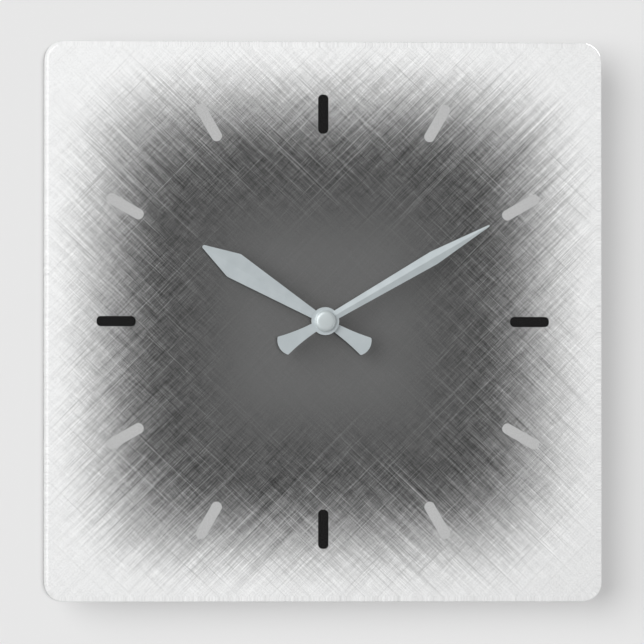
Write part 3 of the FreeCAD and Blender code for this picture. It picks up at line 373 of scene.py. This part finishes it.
def copper_material():
    """Enamelled wire wound about X: fine ridges round the coil, painted darker in the grooves
    between turns and lighter on their crowns: painted shade and highlight.
    """
    graph = Graph("enamelled_copper")
    x, _, _ = graph.parts(graph.place())
    wander = graph.noise(graph.place(), 900, 2.0)
    along = graph.math("MULTIPLY_ADD", wander, 0.05 * MM, x)
    turns = graph.math("SINE", graph.math("MULTIPLY", along, 2 * math.pi / (0.16 * MM)))
    # Painted shade and highlight: the wire's colour follows the same wave as its bump, dark in the
    # grooves and light on the crowns.
    shade = graph.ramp(turns, -1.0, 1.0)
    graph.set(
        Base_Color=graph.mix(shade, (0.30, 0.095, 0.035, 1), (0.72, 0.30, 0.13, 1)),
        Metallic=0.85,
        Roughness=graph.ramp(wander, 0.3, 0.7, 0.24, 0.36),
    )
    graph.bump(turns, 0.04 * MM, 0.8)
    return graph.material


# ---- plastics, rubber and the rest ----
def moulded(name, colour, darker, rough, grain_scale, grain_depth, clouds=70):
    """Moulded plastic with a fine sparked texture."""
    graph = Graph(name)
    cloud = wear(graph, colour, darker, clouds)
    grain = graph.noise(graph.place(), grain_scale, 3.0, 0.6)
    graph.set(Roughness=graph.ramp(grain, 0.3, 0.7, rough - 0.08, rough + 0.08))
    graph.bump(graph.math("MULTIPLY_ADD", cloud, 0.3, grain), grain_depth, 0.6)
    return graph.material


def gear_material():
    """Natural acetal: milky, with soft light in it."""
    graph = Graph("natural_acetal")
    cloud = wear(graph, (0.80, 0.79, 0.74, 1), (0.72, 0.71, 0.66, 1), 220)
    graph.set(Roughness=graph.ramp(cloud, 0.3, 0.7, 0.30, 0.42))
    graph.shader.inputs["Subsurface Weight"].default_value = 0.15
    graph.shader.inputs["Subsurface Scale"].default_value = 0.6 * MM
    graph.bump(graph.noise(graph.place(), 2600, 2.0), 0.008 * MM, 0.4)
    return graph.material


def board_material():
    """Pressed resin board with the weave of its cloth."""
    graph = Graph("resin_board")
    x, _, z = graph.parts(graph.place())
    pitch = 2 * math.pi / (0.5 * MM)
    warp = graph.math("SINE", graph.math("MULTIPLY", x, pitch))
    weft = graph.math("SINE", graph.math("MULTIPLY", z, pitch))
    weave = graph.math("MULTIPLY", warp, weft)
    shade = graph.ramp(weave, -1.0, 1.0)
    graph.set(
        Base_Color=graph.mix(shade, (0.20, 0.115, 0.035, 1), (0.27, 0.165, 0.055, 1)),
        Roughness=graph.ramp(weave, -1.0, 1.0, 0.30, 0.42),
    )
    graph.bump(weave, 0.015 * MM, 0.4)
    return graph.material


def cell_wrap_material():
    """Printed shrink film: two plain tones that meet in a ring, with fine moulding lines."""
    graph = Graph("cell_film")
    low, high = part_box("cell_sleeve")
    x, _, _ = graph.parts(graph.place())
    share = graph.math("DIVIDE", graph.math("SUBTRACT", x, low.x), high.x - low.x)
    band = graph.ramp(share, 0.735, 0.745)
    line = graph.ramp(graph.math("ABSOLUTE", graph.math("SUBTRACT", share, 0.74)), 0.008, 0.012)
    cloud = graph.noise(graph.place(), 300, 3.0)
    tone = graph.mix(band, (0.055, 0.085, 0.13, 1), (0.50, 0.52, 0.54, 1))
    tone = graph.mix(line, (0.75, 0.75, 0.73, 1), tone)
    graph.set(Base_Color=tone, Roughness=graph.ramp(cloud, 0.3, 0.7, 0.20, 0.32), Metallic=0.35)
    graph.shader.inputs["Coat Weight"].default_value = 0.5
    graph.shader.inputs["Coat Roughness"].default_value = 0.1
    graph.bump(graph.noise(graph.place(), 700, 2.0), 0.02 * MM, 0.3)
    return graph.material


def dress(names, material):
    for name in names:
        slots = nodes[name].data.materials
        slots.clear()
        slots.append(material)


hour_axis = (AXIS.x, AXIS.z)
silver = satin_metal("satin_silver", (0.535, 0.59, 0.61, 1), (0.575, 0.63, 0.65, 1))
# The cap's silver is the hands' silver made lighter: painted light, for the brighter sheen on the
# cap's flat top.
painted_lighter_cap_silver = satin_metal("painted_lighter_cap_silver", (0.61, 0.665, 0.675, 1), (0.64, 0.70, 0.71, 1))
brass = turned_metal("brass", (0.62, 0.44, 0.16, 1), (0.50, 0.34, 0.12, 1), hour_axis, 0.26)
plate = sheet_metal(
    "nickel_plate", (0.66, 0.65, 0.62, 1), (0.56, 0.55, 0.53, 1), (400, 3000, 3000), 0.24
)
black_case = moulded(
    "black_case", (0.022, 0.022, 0.024, 1), (0.034, 0.034, 0.036, 1), 0.46, 3200, 0.03 * MM
)
dress(["acrylic_panel"], acrylic_material())
dress(["hour_hand", "minute_hand"], silver)
dress(["brass_washer", "hex_nut", "threaded_bushing"], brass)
dress(["quartz_crystal", "positive_contact", "negative_contact", "cell_can"], plate)
dress(["stator", "coil_core"], sheet_metal(
    "soft_iron", (0.42, 0.42, 0.43, 1), (0.33, 0.33, 0.34, 1), (3000, 3000, 300), 0.38
))
dress(["coil_winding", "coil_leads"], copper_material())
dress(["case_body", "front_cover"], black_case)
dress(["rubber_washer"], moulded(
    "rubber", (0.020, 0.020, 0.020, 1), (0.032, 0.032, 0.032, 1), 0.72, 1500, 0.04 * MM
))
dress(["set_knob"], moulded(
    "knob_plastic", (0.70, 0.70, 0.68, 1), (0.62, 0.62, 0.60, 1), 0.44, 2600, 0.015 * MM
))
dress([
    "rotor_pinion", "third_wheel", "seconds_wheel", "intermediate_wheel", "centre_wheel",
    "motion_wheel", "minute_arbor", "hour_wheel", "train_bridge",
], gear_material())
dress(["coil_bobbin"], moulded(
    "bobbin_plastic", (0.05, 0.13, 0.28, 1), (0.04, 0.10, 0.23, 1), 0.40, 2600, 0.015 * MM
))
dress(["rotor_magnet"], moulded(
    "sintered_magnet", (0.10, 0.10, 0.105, 1), (0.16, 0.16, 0.165, 1), 0.50, 4000, 0.02 * MM
))
dress(["circuit_board"], board_material())
dress(["chip_blob"], moulded(
    "cast_resin", (0.010, 0.010, 0.010, 1), (0.018, 0.018, 0.018, 1), 0.22, 500, 0.02 * MM
))
dress(["cell_sleeve"], cell_wrap_material())


# ---- pieces built in Blender ----
def piece_from(bm, name, materials, body, smooth_angle=None):
    bmesh.ops.recalc_face_normals(bm, faces=bm.faces)
    mesh = bpy.data.meshes.new(name)
    bm.to_mesh(mesh)
    bm.free()
    piece = bpy.data.objects.new(name, mesh)
    bpy.context.scene.collection.objects.link(piece)
    for material in materials:
        mesh.materials.append(material)
    if smooth_angle is not None:
        mesh.shade_smooth()
        mesh.set_sharp_from_angle(angle=math.radians(smooth_angle))
    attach(piece, body)
    return piece


def rounded_rectangle(half_x, half_z, radius, steps=12):
    """Corner arcs of a rounded rectangle about the origin, anticlockwise, as (x, z)."""
    points = []
    for quarter, (sign_x, sign_z) in enumerate(((1, 1), (-1, 1), (-1, -1), (1, -1))):
        for n in range(steps + 1):
            turn = math.radians(90 * (quarter + n / steps))
            points.append((
                sign_x * (half_x - radius) + radius * math.cos(turn),
                sign_z * (half_z - radius) + radius * math.sin(turn),
            ))
    return points


def prism(bm, points, y_front, y_back, material_index=0):
    """A closed upright prism on an outline of (x, z) points."""
    front = [bm.verts.new((x, y_front, z)) for x, z in points]
    back = [bm.verts.new((x, y_back, z)) for x, z in points]
    faces = [bm.faces.new(front), bm.faces.new(back[::-1])]
    for n in range(len(points)):
        after = (n + 1) % len(points)
        faces.append(bm.faces.new((front[n], front[after], back[after], back[n])))
    for face in faces:
        face.material_index = material_index


def print_layer():
    """The printed film. Its front lies just inside the panel, as ink bonded to it does."""
    half_x = (print_high.x - print_low.x) / 2
    half_z = (print_high.z - print_low.z) / 2
    outline = rounded_rectangle(half_x, half_z, PRINT_CORNER)
    turns = [math.radians(360 * n / len(outline)) for n in range(len(outline))]
    start = math.atan2(outline[0][1], outline[0][0])
    hole = [
        (PRINT_HOLE_RADIUS * math.cos(start + t), PRINT_HOLE_RADIUS * math.sin(start + t))
        for t in turns
    ]
    y_front = PANEL_BACK_Y - INK_DEPTH
    y_back = print_high.y
    bm = bmesh.new()
    loops = []
    for y in (y_front, y_back):
        for ring in (outline, hole):
            loops.append([bm.verts.new((AXIS.x + x, y, AXIS.z + z)) for x, z in ring])
    front_out, front_in, back_out, back_in = loops
    count = len(outline)
    for n in range(count):
        after = (n + 1) % count
        bm.faces.new((front_out[n], front_out[after], front_in[after], front_in[n]))
        for first, second in ((back_out, back_in), (front_out, back_out), (front_in, back_in)):
            face = bm.faces.new((first[n], first[after], second[after], second[n]))
            face.material_index = 1
    piece = piece_from(bm, "print_layer", [print_material(), ink_back_material()], "clock")
    # The pale back throws no light on the wall behind it.
    piece.visible_diffuse = False
    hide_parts("dial_print")


# Hour marks, as printed: (centre distance from the axis, half length, half width, corner).
QUARTER_MARK = (101.25 * MM, 9.55 * MM, 2.5 * MM, 2.1 * MM)
HOUR_MARK = (111.9 * MM, 10.1 * MM, 2.6 * MM, 2.55 * MM)


def hour_marks():
    """Twelve ink bars between the panel and the print."""
    y_back = PANEL_BACK_Y - MARK_BACK_DEPTH
    y_front = PANEL_BACK_Y - MARK_FRONT_DEPTH
    bm = bmesh.new()
    for hour in range(12):
        quarter = hour % 3 == 0
        centre, half_length, half_width, corner = QUARTER_MARK if quarter else HOUR_MARK
        turn = math.radians(30 * hour)
        points = []
        for x, z in rounded_rectangle(half_width, half_length, corner):
            along = centre + z
            points.append((
                AXIS.x + along * math.sin(turn) + x * math.cos(turn),
                AXIS.z + along * math.cos(turn) - x * math.sin(turn),
            ))
        prism(bm, points, y_front, y_back, 0 if quarter else 1)
    inks = [
        mark_material("mark_black", (0.004, 0.004, 0.004)),
        mark_material("mark_grey", (0.50, 0.50, 0.50)),
    ]
    piece = piece_from(bm, "hour_marks", inks, "clock")


def lathe(bm, profile, centre, steps=96):
    """Turns a profile of (radius, y) about the axis along Y through centre, closed at both ends."""
    rings = []
    for radius, y in profile:
        if radius == 0:
            rings.append([bm.verts.new((centre.x, y, centre.z))])
            continue
        ring = []
        for n in range(steps):
            turn = 2 * math.pi * n / steps
            ring.append(bm.verts.new((
                centre.x + radius * math.cos(turn), y, centre.z + radius * math.sin(turn)
            )))
        rings.append(ring)
    for first, second in zip(rings, rings[1:]):
        for n in range(steps):
            after = (n + 1) % steps
            corners = [first[n % len(first)], first[after % len(first)]]
            corners += [second[after % len(second)], second[n % len(second)]]
            distinct = list(dict.fromkeys(corners))
            bm.faces.new(distinct)


def cap_piece():
    """The centre cap: a short wall, a bevelled ring, a shallow groove and a low domed top."""
    radius = (cap_high.x - cap_low.x) / 2
    front = cap_low.y
    back = cap_high.y
    profile = [
        (0, back), (radius, back), (radius, front + 0.95 * MM),
        (radius - 0.06 * MM, front + 0.82 * MM), (radius - 0.62 * MM, front + 0.36 * MM),
        (radius - 0.72 * MM, front + 0.42 * MM), (radius - 0.80 * MM, front + 0.40 * MM),
        (radius - 0.92 * MM, front + 0.22 * MM), (radius - 1.15 * MM, front + 0.12 * MM),
        (radius - 2.2 * MM, front + 0.05 * MM), (radius - 3.6 * MM, front + 0.01 * MM), (0, front),
    ]
    bm = bmesh.new()
    lathe(bm, profile, AXIS)
    piece = piece_from(bm, "cap", [painted_lighter_cap_silver], "minute", 24)
    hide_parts("centre_cap")


print_layer()
hour_marks()
cap_piece()

# The sheet hands' cut edges are rolled over a little.
for name in ("hour_hand", "minute_hand"):
    edge = nodes[name].modifiers.new("rolled_edge", "BEVEL")
    edge.width = 0.12 * MM
    edge.segments = 2
    edge.limit_method = "ANGLE"
    edge.angle_limit = math.radians(50)
    edge.harden_normals = True


# ---- wall, light and camera ----
def wall():
    graph = Graph("wall_paint")
    roller = graph.noise(graph.place(), 900, 3.0, 0.6)
    graph.set(Base_Color=(WALL_TONE, WALL_TONE, WALL_TONE, 1), Roughness=0.9)
    graph.shader.inputs["Specular IOR Level"].default_value = 0.0
    graph.bump(roller, 0.02 * MM, 0.15)
    # The wall hides nothing from behind, so that the clock's back can be looked at.
    facing = graph.node("ShaderNodeNewGeometry")
    clear = graph.node("ShaderNodeBsdfTransparent")
    choice = graph.node("ShaderNodeMixShader")
    graph.put(choice.inputs[0], facing.outputs["Backfacing"])
    graph.put(choice.inputs[1], graph.shader.outputs[0])
    graph.put(choice.inputs[2], clear.outputs[0])
    graph.put(graph.output.inputs["Surface"], choice.outputs[0])
    half = 2.0
    bm = bmesh.new()
    corners = [(-half, -half), (half, -half), (half, half), (-half, half)]
    bm.faces.new([bm.verts.new((x, WALL_GAP, z)) for x, z in corners])
    mesh = bpy.data.meshes.new("wall")
    bm.to_mesh(mesh)
    bm.free()
    mesh.materials.append(graph.material)
    made = bpy.data.objects.new("wall", mesh)
    bpy.context.scene.collection.objects.link(made)
    made.visible_shadow = False
    made.visible_diffuse = False
    made.visible_glossy = False


def direction(azimuth, elevation):
    """Towards a place seen from the clock. Azimuth 0 is straight in front, and negative left."""
    a = math.radians(azimuth)
    e = math.radians(elevation)
    return Vector((math.sin(a) * math.cos(e), -math.cos(a) * math.cos(e), math.sin(e)))


def sun(name, azimuth, elevation, share, spread):
    """Soft light from one side."""
    data = bpy.data.lights.new(name, "SUN")
    data.energy = math.pi * share
    data.angle = math.radians(spread)
    made = bpy.data.objects.new(name, data)
    bpy.context.scene.collection.objects.link(made)
    made.rotation_euler = direction(azimuth, elevation).to_track_quat("Z", "Y").to_euler()
    made.location = direction(azimuth, elevation)
    return made


def world():
    made = bpy.data.worlds.new("studio")
    bpy.context.scene.world = made
    made.use_nodes = True
    tree = made.node_tree
    background = tree.nodes["Background"]
    background.inputs["Color"].default_value = WHITE
    rays = tree.nodes.new("ShaderNodeLightPath")
    seen = tree.nodes.new("ShaderNodeMath")
    seen.operation = "MAXIMUM"
    tree.links.new(rays.outputs["Is Camera Ray"], seen.inputs[0])
    tree.links.new(rays.outputs["Is Transmission Ray"], seen.inputs[1])
    strengths = tree.nodes.new("ShaderNodeMapRange")
    tree.links.new(seen.outputs[0], strengths.inputs["Value"])
    strengths.inputs["To Min"].default_value = WORLD_FILL
    strengths.inputs["To Max"].default_value = WORLD_SHOWN
    glossy = tree.nodes.new("ShaderNodeMath")
    glossy.operation = "MULTIPLY_ADD"
    tree.links.new(rays.outputs["Is Glossy Ray"], glossy.inputs[0])
    glossy.inputs[1].default_value = WORLD_GLOSS - WORLD_FILL
    tree.links.new(strengths.outputs[0], glossy.inputs[2])
    tree.links.new(glossy.outputs[0], background.inputs["Strength"])


wall()
world()
front_soft = sun("front_soft", 0, 0, 0.36, 8)
front_soft.visible_glossy = False
sun("key_soft", -44, 13, 0.63, 54)
# This lamp only shows as gloss: on the folded hands, and on the panel from the low right.
hand_sheen = sun("hand_sheen", -18, 26, 0.14, 24)
hand_sheen.visible_diffuse = False
sun("back_fill", 150, 25, 0.55, 30)

camera_data = bpy.data.cameras.new("camera")
camera_data.lens = CAMERA_LENS
camera_data.sensor_width = 36.0
camera_data.clip_end = 50.0
camera = bpy.data.objects.new("camera", camera_data)
bpy.context.scene.collection.objects.link(camera)
aim = Vector((AXIS.x - 1.0 * MM, PANEL_FRONT_Y, AXIS.z - 0.3 * MM))
towards_camera = direction(CAMERA_AZIMUTH, CAMERA_ELEVATION)
camera.location = aim + towards_camera * CAMERA_DISTANCE
camera.rotation_euler = towards_camera.to_track_quat("Z", "Y").to_euler()
bpy.context.scene.camera = camera

bpy.context.scene.view_settings.view_transform = "Standard"
